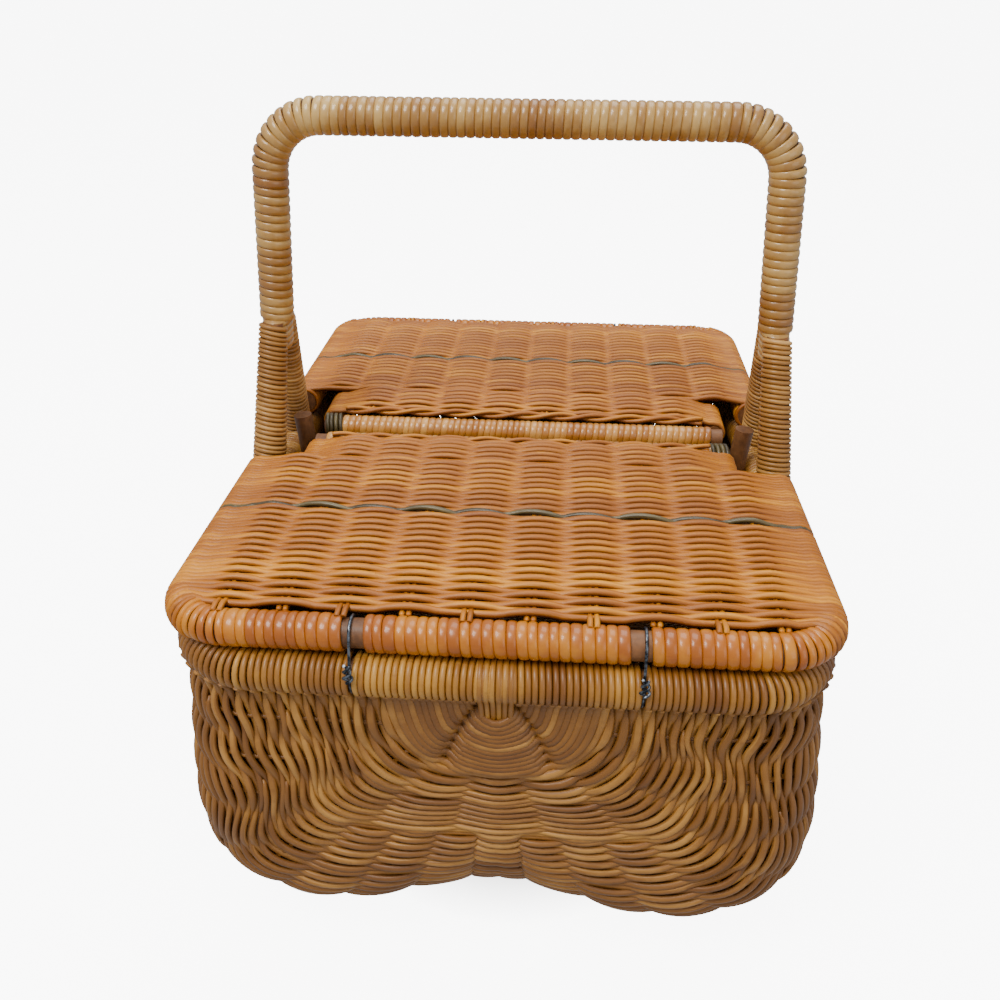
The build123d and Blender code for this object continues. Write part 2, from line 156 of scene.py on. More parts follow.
def outline(reach, corner, bow, half_length):
    """Half of a bowed, rounded rectangle as (length, outward) points, from end to end."""
    side = (half_length**2 + bow**2) / (2 * bow)
    turn = reach - side + math.sqrt((side - corner) ** 2 - (half_length - corner) ** 2)
    lean = math.atan2(turn - (reach - side), half_length - corner)
    end = np.stack([np.full(FINE, -half_length), np.linspace(0, turn, FINE)], 1)
    angle = np.linspace(math.pi, math.pi - lean, FINE)[1:]
    bend = np.stack([corner - half_length + corner * np.cos(angle),
                     turn + corner * np.sin(angle)], 1)
    angle = np.linspace(math.pi - lean, math.pi / 2, 2 * FINE)[1:]
    run = np.stack([side * np.cos(angle), reach - side + side * np.sin(angle)], 1)
    half = np.concatenate([end, bend, run])
    other = half[-2::-1] * [-1, 1]
    return np.concatenate([half, other])


# ---- meshes
BAND_SECTION = np.array([(-.5, 0), (.5, 0), (.5, .5), (.38, .86), (.16, 1), (-.16, 1), (-.38, .86),
                         (-.5, .5)])
GRAIN_STEP = 331  # moves the grain on from one strand's tone to the next
ROD_SIDE = 0.2  # what is lower than this in a section faces the rod


class Bundle:
    """Strands and turns gathered into one mesh, with a tone and grain coordinates per point, and
    the side each point faces, which also places painted shade.
    """

    def __init__(self):
        self.points, self.quads, self.caps = [], [], {}
        self.facts = {"tone": [], "run": [], "side": []}
        self.count = 0

    def rings(self, rings, tone, run, side, closed=False):
        """rings is (items, rings, points round, 3)."""
        items, rows, around = rings.shape[:3]
        index = self.count + np.arange(items * rows * around).reshape(items, rows, around)
        ahead = np.roll(index, -1, axis=1) if closed else index[:, 1:]
        here = index if closed else index[:, :-1]
        quads = np.stack([here, np.roll(here, -1, axis=2), np.roll(ahead, -1, axis=2), ahead], -1)
        self.quads.append(quads.reshape(-1, 4))
        if not closed:
            ends = np.concatenate([index[:, 0, ::-1], index[:, -1]])
            self.caps.setdefault(around, []).append(ends)
        self.points.append(rings.reshape(-1, 3))
        shape = (items, rows, around)
        for name, value in (("tone", tone), ("run", run), ("side", side)):
            self.facts[name].append(np.broadcast_to(value, shape).reshape(-1))
        self.count += items * rows * around

    def strand(self, line, up, tone, width=REED, height=None, sides=6):
        """A round or oval reed along one line; up is what its height follows."""
        line = np.asarray(line, float)
        heading = unit(np.gradient(line, axis=0))
        up = np.broadcast_to(np.asarray(up, float), line.shape)
        up = unit(up - heading * np.sum(up * heading, axis=1, keepdims=True))
        across = np.cross(up, heading)
        turn = circle(sides)
        width = np.broadcast_to(width, len(line))[:, None, None]
        height = width if height is None else np.broadcast_to(height, len(line))[:, None, None]
        ring = (line[:, None] + across[:, None] * width * np.cos(turn)[None, :, None]
                + up[:, None] * height * np.sin(turn)[None, :, None])
        steps = np.linalg.norm(np.diff(line, axis=0), axis=1)
        run = np.concatenate([[0], np.cumsum(steps)])[None, :, None] + GRAIN_STEP * tone
        self.rings(ring[None], tone, run, np.sin(turn)[None, None])

    def turns(self, line, places, core, section, tones, tilt=0.0, around=20, start=(0, 0, 1)):
        """Closed turns round a rod: section is (along, outward) in millimetres."""
        places = np.asarray(places, float)
        if not len(places):
            return
        middle, heading = line.at(places), line.along(places)
        first = unit(np.cross(np.cross(heading, np.broadcast_to(start, heading.shape)), heading))
        second = np.cross(heading, first)
        turn = circle(around)
        outward = (first[:, None] * np.cos(turn)[None, :, None]
                   + second[:, None] * np.sin(turn)[None, :, None])
        lean = np.broadcast_to(tilt, places.shape)[:, None] * np.sin(turn)[None]
        core = np.broadcast_to(core, places.shape)[:, None, None]
        along = section[None, None, :, 0] + lean[..., None]
        out = core + section[None, None, :, 1] + np.zeros_like(along)
        ring = (middle[:, None, None] + heading[:, None, None] * along[..., None]
                + outward[:, :, None] * out[..., None])
        ring = ring[:, ::-1]
        tones = np.asarray(tones, float)[:, None, None]
        run = turn[None, :, None] * core + GRAIN_STEP * tones
        self.rings(ring, tones, run, np.sign(section[None, None, :, 1] - ROD_SIDE), closed=True)

    def piece(self, name, material, body, slot, *replaced):
        """Makes the mesh, which rides on a body and may stand for CAD nodes."""
        points = np.concatenate(self.points).astype(np.float32) / 1000
        quads = np.concatenate(self.quads)
        loops, sizes = [quads.reshape(-1)], [np.full(len(quads), 4)]
        for around, ends in self.caps.items():
            ends = np.concatenate(ends)
            loops.append(ends.reshape(-1))
            sizes.append(np.full(len(ends), around))
        loops, sizes = np.concatenate(loops), np.concatenate(sizes)
        mesh = bpy.data.meshes.new(name)
        mesh.vertices.add(len(points))
        mesh.vertices.foreach_set("co", points.reshape(-1))
        mesh.loops.add(len(loops))
        mesh.loops.foreach_set("vertex_index", loops.astype(np.int32))
        mesh.polygons.add(len(sizes))
        starts = np.concatenate([[0], np.cumsum(sizes)[:-1]]).astype(np.int32)
        mesh.polygons.foreach_set("loop_start", starts)
        smooth = np.ones(len(sizes), bool)
        smooth[len(quads):] = False
        mesh.polygons.foreach_set("use_smooth", smooth)
        for fact, values in self.facts.items():
            layer = mesh.attributes.new(fact, "FLOAT", "POINT")
            layer.data.foreach_set("value", np.concatenate(values).astype(np.float32))
        mesh.update(calc_edges=True)
        mesh.validate()
        mesh.materials.append(material)
        thing = shown(name, mesh)
        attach(thing, body)
        if replaced:
            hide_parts(*replaced)


def shown(name, data):
    thing = bpy.data.objects.new(name, data)
    bpy.context.scene.collection.objects.link(thing)
    return thing


def round_section(radius):
    turn = circle(6)
    return np.stack([radius * np.cos(turn), radius + radius * np.sin(turn)], 1)


def band_section(width, thickness):
    return BAND_SECTION * [width, thickness]


TONE_SWING = 0.22


def tones(count, spread=1.0, drift=0.0, reach=9):
    """A tone for each strand; with drift, neighbours within reach are alike."""
    near = np.convolve(chance.random(count + 2 * reach), np.hanning(2 * reach + 1), "same")
    near = near[reach:reach + count]
    near = (near - near.mean()) / max(near.std(), 1e-6) * TONE_SWING
    return np.clip(0.5 + (chance.random(count) - 0.5) * spread + near * drift, 0, 1)


# ---- materials
class Wire:
    """A shader socket whose arithmetic adds Math nodes."""

    def __init__(self, tree, socket):
        self.tree, self.socket = tree, socket

    def math(self, operation, other, swapped=False):
        node = self.tree.nodes.new("ShaderNodeMath")
        node.operation = operation
        for socket, value in zip(node.inputs, (other, self) if swapped else (self, other)):
            feed(self.tree, socket, value)
        return Wire(self.tree, node.outputs[0])

    def __add__(self, other):
        return self.math("ADD", other)

    def __sub__(self, other):
        return self.math("SUBTRACT", other)

    def __rsub__(self, other):
        return self.math("SUBTRACT", other, swapped=True)

    def __mul__(self, other):
        return self.math("MULTIPLY", other)

    __radd__, __rmul__ = __add__, __mul__


def feed(tree, socket, value):
    if isinstance(value, Wire):
        tree.links.new(value.socket, socket)
    else:
        socket.default_value = value


class Finish:
    """One procedural material."""

    def __init__(self, name):
        self.material = bpy.data.materials.new(name)
        self.material.use_nodes = True
        self.tree = self.material.node_tree
        self.tree.nodes.clear()

    def node(self, kind, settings, sockets, output=0):
        """Any other node: its kind, its settings, then the values or wires of its sockets."""
        node = self.tree.nodes.new("ShaderNode" + kind)
        for name, value in settings.items():
            setattr(node, name, value)
        for name, value in sockets.items():
            feed(self.tree, node.inputs[name], value)
        return Wire(self.tree, node.outputs[output]) if node.outputs else None

    def fact(self, name):
        return self.node("Attribute", {"attribute_name": name}, {}, "Fac")

    def place(self):
        return self.node("TexCoord", {}, {}, "Object")

    def vector(self, x, y, z):
        return self.node("CombineXYZ", {}, {"X": x, "Y": y, "Z": z})

    def noise(self, vector, scale, detail, rough):
        return self.node("TexNoise", {}, {"Vector": vector, "Scale": scale, "Detail": detail,
                                          "Roughness": rough}, "Fac")

    def mix(self, share, first, second):
        return self.node("Mix", {"data_type": "RGBA"}, {0: share, 6: first, 7: second}, 2)

    def spread(self, value, low, high):
        return self.node("MapRange", {"clamp": True},
                         {"Value": value, "From Min": low, "From Max": high})

    def surface(self, colour, roughness, height, depth, coat=0.0, coat_roughness=0.2, metallic=0.0,
                glow=0.0, glow_colour=(1, 1, 1, 1)):
        bump = self.node("Bump", {}, {"Height": height, "Strength": 1.0, "Distance": depth})
        shader = self.node("BsdfPrincipled", {}, {
            "Base Color": colour, "Roughness": roughness, "Normal": bump, "Coat Weight": coat,
            "Coat Roughness": coat_roughness, "Metallic": metallic,
            "Emission Color": glow_colour, "Emission Strength": glow})
        self.node("OutputMaterial", {}, {"Surface": shader})
        return self.material


def colour(red, green, blue):
    """An sRGB colour of 0 to 255 in linear light."""
    values = np.array([red, green, blue]) / 255
    linear = np.where(values <= 0.04045, values / 12.92, ((values + 0.055) / 1.055) ** 2.4)
    return (*linear.tolist(), 1)


def shaded(tone, share):
    return [value * share for value in tone[:3]] + [1]


REED_GRAIN, CANE_GRAIN, ROD_GRAIN = 0.0003, 0.0002, 0.0003  # depths of relief in metres
WIRE_GRAIN = FLOOR_GRAIN = 0.0001


def reed_finish(name, deep, body, pale, roughness=0.5, coat=0.25, painted_shade=0.5, edge=0.35, crease=1.0):
    """Varnished round reed: streaks and pores, and painted shade from edge to crease on the side
    that faces in, down or against a rod.
    """
    finish = Finish(name)
    deep, body, pale = colour(*deep), colour(*body), colour(*pale)
    tone, run, side = map(finish.fact, ("tone", "run", "side"))
    streaks = finish.noise(finish.vector(run * 0.03, tone * 57.0, side * 1.6), 1.0, 4.0, 0.6)
    pores = finish.noise(finish.vector(run * 0.35, tone * 91.0, side * 5.0), 1.0, 3.0, 0.65)
    patches = finish.noise(finish.place(), 16.0, 3.0, 0.6)
    amount = finish.spread(streaks * 0.8 + tone * 0.55 + patches * 0.5 - 0.42, 0.1, 0.95)
    warm = finish.mix(amount, deep, body)
    warm = finish.mix(finish.spread(streaks + tone * 0.45, 0.75, 1.15), warm, pale)
    warm = finish.mix(finish.spread(pores, 0.62, 0.74) * 0.35, warm, deep)
    # painted shade: the side of a reed that faces in, down or against a rod is darkened towards
    # shaded(deep)
    low = finish.spread(0.0 - side, -edge, crease)
    with_painted_shade = finish.mix(low * painted_shade, warm, shaded(deep, 0.35))
    return finish.surface(with_painted_shade, roughness - streaks * 0.12, streaks * 0.6 + pores * 0.4,
                          REED_GRAIN, coat, 0.28)


def cane_finish(name, deep, body, pale, coat=0.6):
    """Glossy flat cane: each turn its own tone, fine lines, and painted shade where the edges meet.
    """
    finish = Finish(name)
    deep, body, pale = colour(*deep), colour(*body), colour(*pale)
    tone, run, side = map(finish.fact, ("tone", "run", "side"))
    position = finish.place()
    streaks = finish.noise(finish.vector(run * 0.05, tone * 83.0, side * 2.0), 1.0, 4.0, 0.6)
    patches = finish.noise(position, 38.0, 4.0, 0.6)
    fine = finish.noise(position, 420.0, 2.0, 0.5)
    amount = finish.spread(tone * 0.9 + streaks * 0.5 + patches * 0.45 - 0.55, 0.0, 0.8)
    warm = finish.mix(amount, deep, body)
    warm = finish.mix(finish.spread(patches + tone * 0.5, 0.72, 1.1), warm, pale)
    # painted shade: each turn's edges against the rod, where turns meet, are darkened towards
    # shaded(deep)
    low = finish.spread(0.0 - side, -0.9, 0.35)
    with_painted_shade = finish.mix(low * 0.55, warm, shaded(deep, 0.3))
    return finish.surface(with_painted_shade, 0.34 + patches * 0.14, patches * 0.5 + fine * 0.5,
                          CANE_GRAIN, coat, 0.12)


def rod_finish(name, deep, body):
    """Bare rattan: long grain with dark pores."""
    finish = Finish(name)
    position = finish.place()
    broad = finish.noise(position, 22.0, 4.0, 0.6)
    fine = finish.noise(position, 260.0, 3.0, 0.6)
    share = finish.spread(broad * 0.6 + fine * 0.4, 0.3, 0.7)
    tone = finish.mix(share, colour(*deep), colour(*body))
    return finish.surface(tone, 0.5 + fine * 0.15, fine, ROD_GRAIN, 0.1, 0.3)


def steel_finish(name):
    """Dull wire with dark tarnish."""
    finish = Finish(name)
    position = finish.place()
    tarnish = finish.spread(finish.noise(position, 300.0, 3.0, 0.6), 0.4, 0.62)
    tone = finish.mix(tarnish, colour(34, 38, 44), colour(120, 128, 138))
    return finish.surface(tone, 0.42 - tarnish * 0.14, tarnish, WIRE_GRAIN, 0.0, 0.1, 0.9)


FLOOR_GLOW = 8.0  # keeps the pale floor near white
SHADE_SCALE = (6.2, 5.0, 1.0)  # a painted shadow: the floor's glow fades out under the basket, in an oval 0.32 m by 0.40 m


def floor_finish():
    finish = Finish("pale_floor")
    position = finish.place()
    cloud = finish.noise(position, 3.0, 2.0, 0.5)
    tone = finish.mix(cloud, colour(244, 244, 243), colour(249, 249, 248))
    # painted contact shadow: the glow is taken away in an oval under the basket
    oval = finish.node("Mapping", {}, {"Vector": position, "Scale": SHADE_SCALE})
    near = finish.node("TexGradient", {"gradient_type": "SPHERICAL"}, {"Vector": oval}, "Fac")
    light = finish.mix(finish.spread(near, 0.0, 0.3), (1, 1, 1, 1), (0, 0, 0, 1))
    return finish.surface(tone, 0.75, cloud, FLOOR_GRAIN, glow=FLOOR_GLOW, glow_colour=light)


body_reed = reed_finish("varnished_body_reed", (102, 60, 18), (167, 111, 40), (196, 143, 67),
                        roughness=0.55, coat=0.08)
rim_reed = reed_finish("varnished_rim_reed", (116, 68, 18), (174, 118, 40), (202, 150, 66),
                       coat=0.15)
brace_reed = reed_finish("varnished_brace_reed", (124, 78, 30), (190, 136, 62), (214, 164, 92),
                         coat=0.15)
# the lid reeds take strong painted shade, over all but their tops
lid_reed = reed_finish("golden_lid_reed", (145, 77, 2), (209, 127, 3), (228, 153, 18),
                       roughness=0.55, coat=0.06, painted_shade=0.9, edge=0.9, crease=0.1)
dark_reed = reed_finish("grey_green_reed", (50, 40, 18), (88, 74, 38), (124, 108, 62))
roll_cane = cane_finish("orange_glossy_cane", (144, 70, 2), (196, 112, 3), (208, 136, 20),
                        coat=0.4)
grip_cane = cane_finish("tan_grip_cane", (140, 88, 30), (192, 150, 74), (210, 172, 100))
inner_cane = cane_finish("tan_inner_cane", (150, 84, 22), (206, 144, 58), (222, 166, 84))
bare_rattan = rod_finish("bare_rattan", (70, 40, 18), (136, 88, 46))
hinge_steel = steel_finish("dull_steel_wire")


# ---- hull: where its reeds lie
GRID_SLOPES = np.linspace(0, 90, 91)
GRID_PLACES = 1200
SPINE = 360  # where a reed's points reach the spine
SLOPE = np.linspace(0, 180, 2 * SPINE + 1)
LEFT = SLOPE[:SPINE + 1]
FOLDED = np.minimum(SLOPE, 180 - SLOPE)
NEARBY = 0.003  # share of the way along that a surface's slope is read over


def hull_grid():
    """(length, outward) points of the hull's middle surface by slope and share of the way."""
    rows, totals = [], []
    for slope in GRID_SLOPES:
        reach, corner, bow = (float(through(SLOPES, values, np.array(slope)))
                              for values in (REACHES, CORNERS, BOWS))
        line = Line(outline(reach, corner, bow, HULL_HALF_LENGTH))
        rows.append(line.evenly(GRID_PLACES))
        totals.append(line.length)
    return np.array(rows), np.array(totals)


HULL, HULL_TOTALS = hull_grid()


def hull_point(slope, share):
    """A point of the hull's middle surface; slope runs from 0, left rim, to 180, right rim."""
    folded = np.clip(np.where(slope > 90, 180 - slope, slope), 0, 90)
    place = np.clip(share, 0, 1) * (GRID_PLACES - 1)
    row = np.minimum(folded.astype(int), len(GRID_SLOPES) - 2)
    column = np.minimum(place.astype(int), GRID_PLACES - 2)
    down, on = (folded - row)[..., None], (place - column)[..., None]
    flat = ((HULL[row, column] * (1 - on) + HULL[row, column + 1] * on) * (1 - down)
            + (HULL[row + 1, column] * (1 - on) + HULL[row + 1, column + 1] * on) * down)
    tilt = np.radians(slope)
    length, out = flat[..., 0], flat[..., 1]
    return np.stack([-np.cos(tilt) * out, length, RIM_HEIGHT - np.sin(tilt) * out], -1)


def hull_outward(slope, share):
    over = (hull_point(np.clip(slope + 1, 0, 180), share)
            - hull_point(np.clip(slope - 1, 0, 180), share))
    on = (hull_point(slope, np.clip(share + NEARBY, 0, 1))
          - hull_point(slope, np.clip(share - NEARBY, 0, 1)))
    return unit(np.cross(on, over))


RIM_TOTAL = HULL_TOTALS[0]
HALF_COUNT = round(RIM_TOTAL / 2 / ROW_PITCH)  # rows from the ear to mid-length
PITCH = RIM_TOTAL / 2 / HALF_COUNT
EAR_WIDTH = 57.0  # half the width of the closely lashed ear, along the rim
FILL_FROM = 22  # rows beyond this one open out and take filling pairs
FILL_EVERY = 4
FILL_PARTING = 12  # degrees over which the rows make room for a pair
FILL_GAP, WALL_OUT = 5.0, 172.0  # a pair stops this far above a rib, on a wall this far out
SIDE_RIBS = (33.0, 62.0, 90.0, 118.0, 147.0)  # below the rim, measured down the wall
UNDER_RIBS = (48.0, 58.0, 68.0, 79.0)  # slopes of the ribs below those
NARROW_RIBS = (48.0, 66.0)  # the same near the two ears, where there is room for two
NARROW = 110.0
FIRST_CROSSING = 9.0  # a reed passes the rim itself this far down
SIDE_STARTS, SIDE_LIMITS = (57, 77, 103), (30.5, 38.5, 41.5)  # side ribs end at these slopes


def fill_slope(depth, along):
    """Slope at which a filling pair turns back, a little above the rib at that depth."""
    return math.degrees(math.atan2(depth - FILL_GAP, min(along, WALL_OUT)))


def hull_threads():
    """Half the hull's reeds, ear to mid-length: slopes where each begins, distances along."""
    begins = []
    for n in range(HALF_COUNT):
        begins.append((0.0, 0.0))
        if n > FILL_FROM and n % FILL_EVERY == 0:
            depths = chance.permutation(SIDE_RIBS[:3])
            begins += [tuple(fill_slope(d, (n + 1) * PITCH) for d in depths[:2])] * 2
    begins = np.array(begins)
    ways = []
    for side in (0, 1):
        weight = np.array([ease(LEFT, b, b + FILL_PARTING) if b else np.ones(len(LEFT))
                           for b in begins[:, side]])
        open_rows = weight[FILL_FROM:]
        taken = (np.cumsum(open_rows, axis=0) - open_rows / 2) / np.sum(open_rows, axis=0)
        near = np.tile((np.arange(FILL_FROM) + 0.5)[:, None] * PITCH, (1, len(LEFT)))
        beyond = FILL_FROM * PITCH + taken * (RIM_TOTAL / 2 - FILL_FROM * PITCH)
        ways.append(np.concatenate([near, beyond]))
    return begins, np.concatenate([ways[0], ways[1][:, -2::-1]], axis=1)


# each is (at the rim's middle, growth along the rim) of an ear reed's corner and spine crossing
EAR_OUT, EAR_DOWN, EAR_SPINE = (1.0, 0.83), (11.5, 0.67), (14.5, 0.83)
EAR_TIGHT = 10.0  # a higher power makes a sharper turn
WALL_TIGHT = 14.0
WALL_STARTS, WALL_SLANTS = (57, 80, 105, 135, 155), (1.62, 1.72, 1.83, 1.86, 1.95)
DRAWN_IN, SPINE_DROP, DROP_LOSS = 0.985, 13, 0.13


def ear_reach(along, tilt):
    """Distance from the rim's middle: a reed comes down, turns and crosses the spine."""
    corner_x, corner_z, spine = (start + growth * along
                                 for start, growth in (EAR_OUT, EAR_DOWN, EAR_SPINE))
    down = along / (np.cos(tilt) + np.sin(tilt) * (along - corner_x) / corner_z)
    sag = np.maximum(spine - corner_z, 1.0) / corner_x**2 * np.cos(tilt) ** 2
    inward = 2 * spine / (np.sin(tilt) + np.sqrt(np.sin(tilt) ** 2 + 4 * sag * spine))
    return (down**-EAR_TIGHT + inward**-EAR_TIGHT) ** (-1 / EAR_TIGHT)


def wall_reach(along, tilt):
    """The same beyond the ear: straight down, a slant across the corner, level to the spine."""
    slant = np.interp(along, WALL_STARTS, WALL_SLANTS) * along
    deep = along + np.maximum(0, SPINE_DROP - DROP_LOSS * along)
    ways = (DRAWN_IN * along / np.cos(tilt * 0.999), slant / (np.cos(tilt) + np.sin(tilt)),
            deep / np.maximum(np.sin(tilt), 1e-6))
    return sum(way**-WALL_TIGHT for way in ways) ** (-1 / WALL_TIGHT)


EAR_BLEND, LEVEL_BLEND = (46, 66), (105, 200)  # distances along the rim
REED_SHARE, NARROWEST = 0.68, 1.5  # half width: share of the spacing, its least
WIDEST_STARTS, WIDEST = (57, 110), (2.5, 2.1)  # and its most


def hull_rows():
    """Every reed from rim to rim, front half and rear half."""
    rows = []
    totals = np.interp(FOLDED, GRID_SLOPES, HULL_TOTALS)[None]
    tilt = np.radians(FOLDED)[None]
    for mirrored in (False, True):
        begins, along = hull_threads()
        blend = ease(along, *EAR_BLEND)
        reach = ear_reach(along, tilt) * (1 - blend) + wall_reach(along, tilt) * blend
        level = along + (totals - RIM_TOTAL) / 2  # in one plane across the basket
        turned = ease(along, *LEVEL_BLEND)
        share = (reach * (1 - turned) + level * turned) / totals
        if mirrored:
            share = 1 - share
        slope = np.broadcast_to(SLOPE, share.shape)
        points, facing = hull_point(slope, share), hull_outward(slope, share)
        across = np.gradient(points, axis=0)
        heading = unit(np.gradient(points, axis=1))
        across -= heading * np.sum(across * heading, axis=-1, keepdims=True)
        spacing = np.linalg.norm(across, axis=-1)
        widest = np.interp(along, WIDEST_STARTS, WIDEST)
        widths = np.clip(REED_SHARE * spacing, NARROWEST, widest)
        for order in range(len(begins)):
            rows.append({"order": order, "mirrored": mirrored, "start": float(along[order][0]),
                         "begins": begins[order], "share": share[order], "points": points[order],
                         "facing": facing[order], "widths": widths[order]})
            rows[-1].update(hull_crossings(rows[-1]))
    return rows


def hull_crossings(row):
    """How deep each point of a reed lies along it, and its count of ribs passed by there."""
    line, start = Line(row["points"]), row["start"]
    depth = np.minimum(line.marks, line.length - line.marks)
    half = depth[:SPINE + 1]
    limit = np.interp(start, SIDE_STARTS, SIDE_LIMITS)
    side = [d for d in SIDE_RIBS if start > EAR_WIDTH and np.interp(d, half, LEFT) < limit]
    under = NARROW_RIBS if start < NARROW else UNDER_RIBS
    below = [float(np.interp(slope, LEFT, half)) for slope in under]
    places = [FIRST_CROSSING] + side + below + [float(depth[SPINE])]
    crossing = np.interp(depth, places, np.arange(len(places)))
    return {"depth": depth, "crossing": crossing, "side": side, "under": under}


RIB_RADIUS = 1.5
LIFT = RIB_RADIUS + REED * 0.75
INNER_LIFT = 1.0  # the passes behind a rib lie closer, and underneath closer still
INNER_LIFT_UNDER, UNDER_EASE = 0.2, (26, 44)
FULLNESS = 0.7  # below 1, a pass keeps its height for longer
PASS_SPREAD = 0.16  # and is this much wider
EAR_EDGE = (EAR_WIDTH - 4, EAR_WIDTH + 3)
EAR_LIFT = LIFT + 0.2
DIVE_STARTS, DIVE_SLOPES = (12, 34, 57), (58.5, 61.5, 64)
DIVE_SPAN, DIVE, DIVE_ODD = 4.5, 4.2, 1.6  # ear reeds dip at their corners, odd ones more
HUMP_SPAN, HUMP = 19, 3.4  # and rise over the spine
RIDGE_SPAN, RIDGE_EASE = 7.0, (8, 30)
RIDGE_OUT, RIDGE_IN = 1.2, -0.8  # the stout rib pushes the other reeds out
RIM_EASE, RIM_OUT, RIM_IN = (6, 14.5), 8.4, -6.4  # over the rim's roll, or in behind it
UNDER_RIM = 6.5  # a reed begins this far down
REED_STEP = 3.7


def hull_reed(row):
    """The reed's centre line, the way it faces, and its half width."""
    order, depth = row["order"], row["depth"]
    wave = np.cos(math.pi * (row["crossing"] + order))
    in_ear = 1 - ease(row["start"], *EAR_EDGE)
    behind = INNER_LIFT + (INNER_LIFT_UNDER - INNER_LIFT) * ease(FOLDED, *UNDER_EASE)
    swing = np.where(wave > 0, LIFT, -behind) * np.abs(wave) ** FULLNESS
    dive_slope = np.interp(row["start"], DIVE_STARTS, DIVE_SLOPES)
    dive = np.exp(-((FOLDED - dive_slope) / DIVE_SPAN) ** 2) * (DIVE + DIVE_ODD * (order % 2))
    hump = HUMP * np.exp(-((FOLDED - 90) / HUMP_SPAN) ** 2)
    lift = swing * (1 - in_ear) + (EAR_LIFT + hump - dive) * in_ear
    ridge = np.exp(-((FOLDED - 90) / RIDGE_SPAN) ** 2) * ease(depth, *RIDGE_EASE)
    lift = lift + ridge * np.where(lift > 0, RIDGE_OUT, RIDGE_IN) * (1 - in_ear)
    outside = in_ear > 0.5 or order % 2 == 0
    near = 1 - ease(depth, *RIM_EASE)
    lift = lift * (1 - near) + near * (RIM_OUT if outside else RIM_IN)
    keep = depth > UNDER_RIM
    left, right = row["begins"]
    if left:
        keep = (SLOPE > left) & (SLOPE < 180 - right)
        marks = Line(row["points"]).marks
        lift = lift * ease(marks - marks[keep][0], 0, 5) * ease(marks[keep][-1] - marks, 0, 5)
    centre = row["points"] + row["facing"] * lift[:, None]
    centre[:, 2] = np.maximum(centre[:, 2], REED + 0.1)
    line = Line(centre[keep])
    places = np.linspace(0, line.length, max(12, int(line.length / REED_STEP)))
    widths = row["widths"] * (1 + PASS_SPREAD * np.maximum(np.abs(wave), in_ear))
    table = np.concatenate([row["facing"][keep], widths[keep][:, None]], axis=1)
    read = np.stack([np.interp(places, line.marks, column) for column in table.T], 1)
    return line.at(places), unit(read[:, :3]), read[:, 3]


WALLS = ("left_weave", "right_weave")
HULL_GROUPS = (  # name, how far along its reeds cross the spine, what it replaces
    ("front_end_reeds", 0.17, ("front_ear", *WALLS)),
    ("front_side_reeds", 0.38, WALLS),
    ("middle_reeds", 0.62, WALLS),
    ("rear_side_reeds", 0.83, WALLS),
    ("rear_end_reeds", 1.0, ("rear_ear", *WALLS)),
)
LASHED = 11.0  # the rim's middle lashing hides the reeds this near to it
REED_HEIGHT = REED * 1.2
RIB_STEP = 6


def lay_hull():
    rows = hull_rows()
    bundles = {name: Bundle() for name, _, _ in HULL_GROUPS}
    for row, tone in zip(rows, tones(len(rows), 0.7, 0.6, 5)):
        if row["start"] < LASHED:
            continue
        share = row["share"][SPINE]
        name = next(name for name, stop, _ in HULL_GROUPS if share <= stop)
        line, facing, widths = hull_reed(row)
        bundles[name].strand(line, facing, float(tone), widths, REED_HEIGHT)
    for name, _, replaced in HULL_GROUPS:
        bundles[name].piece(name, body_reed, "basket", "body_reed", *replaced)
    lay_ribs(rows)


def lay_ribs(rows):
    """The ribs that the reeds go over and under, traced through their crossings."""
    ordered = [r for r in rows if not r["mirrored"]] + [r for r in rows if r["mirrored"]][::-1]
    for side, name in ((1, "left"), (-1, "right")):
        bundle, tracks = Bundle(), {}
        for row in ordered:
            if row["begins"][0] or row["start"] < EAR_WIDTH:
                continue
            depth, shares = row["depth"][:SPINE + 1], row["share"][:SPINE + 1]
            spots = list(enumerate(row["side"]))
            spots += [(slope, float(np.interp(slope, LEFT, depth))) for slope in row["under"]]
            for key, distance in spots:
                slope = np.interp(distance, depth, LEFT)
                share = np.interp(slope, LEFT, shares)
                point = hull_point(np.array([slope]), np.array([share]))[0]
                tracks.setdefault(key, []).append(point * [side, 1, 1])
        for key, track in tracks.items():
            middle = len(track) // 2
            parted = key in NARROW_RIBS[1:]  # these stop short of mid-length
            for run in [track[:middle], track[middle:]] if parted else [track]:
                line = Line(run)
                line = line.evenly(int(line.length / RIB_STEP))
                tone = 0.1 + 0.3 * float(chance.random())
                bundle.strand(line, (0.3, 0, 1), tone, RIB_RADIUS, sides=8)
        ribs = sorted(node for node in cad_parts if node.startswith(f"{name}_rib_"))
        bundle.piece(f"{name}_ribs", body_reed, "basket", "rattan_rod", *ribs)


# ---- rim
def rim_half(side):
    flat = outline(RIM_HALF_WIDTH, RIM_CORNER, RIM_BOW, RIM_HALF_LENGTH)
    return Line(np.stack([side * flat[:, 1], flat[:, 0], np.full(len(flat), RIM_HEIGHT)], 1))


def clear_of_rings(spots):
    """Moves turns a little along the roll, so that a hinge wire has room between two of them."""
    off = np.abs(spots[:, 0]) - RING_PLACE
    at_end = np.abs(spots[:, 1]) > RIM_HALF_LENGTH - 1
    push = np.where(off > 0, 1.0, -1.0) * np.exp(-np.abs(off) / 14) * at_end
    return push * np.sign(spots[:, 0]) * np.sign(spots[:, 1])


